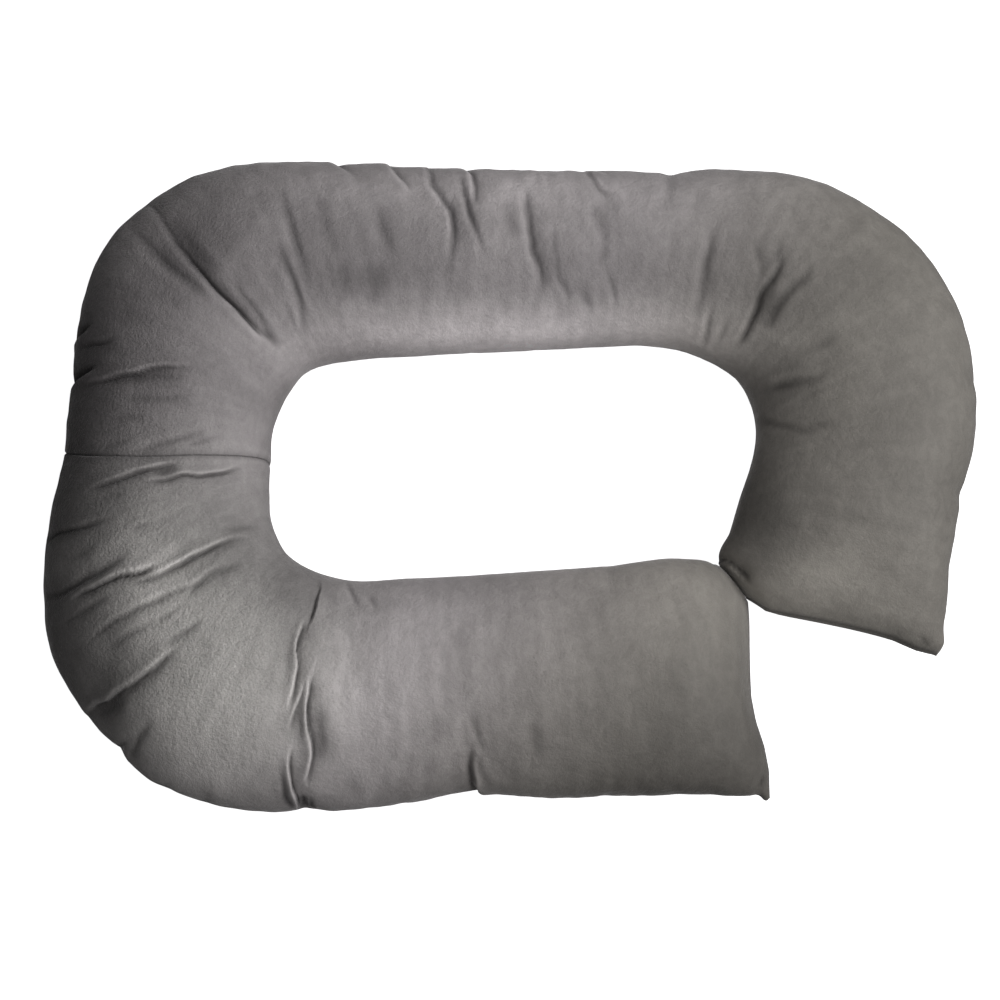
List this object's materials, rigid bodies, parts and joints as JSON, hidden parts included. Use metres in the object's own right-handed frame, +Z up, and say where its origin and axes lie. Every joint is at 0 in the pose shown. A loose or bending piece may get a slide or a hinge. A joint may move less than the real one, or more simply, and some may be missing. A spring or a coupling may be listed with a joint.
{
  "type": "body pillow",
  "caption": "Long filled velvet tube bent into a closed C, with wrinkled bends, a cross seam and straight sewn ends with small corner ears.",
  "frame": {"origin": "on the surface that the pillow lies on, under the middle of its bounding box", "axes": "+X along the longest extent, towards the side where the two ends meet; +Y towards the long arm's back, away from the sewn ends; +Z up, square to the flat underside"},
  "size_m": [1.2914, 0.9342, 0.1951],
  "materials": {
    "velvet": "short-pile grey velvet, soft sheen, brushed unevenly"
  },
  "bodies": {
    "root": {"body_pillow": "velvet"}
  },
  "joints": []
}
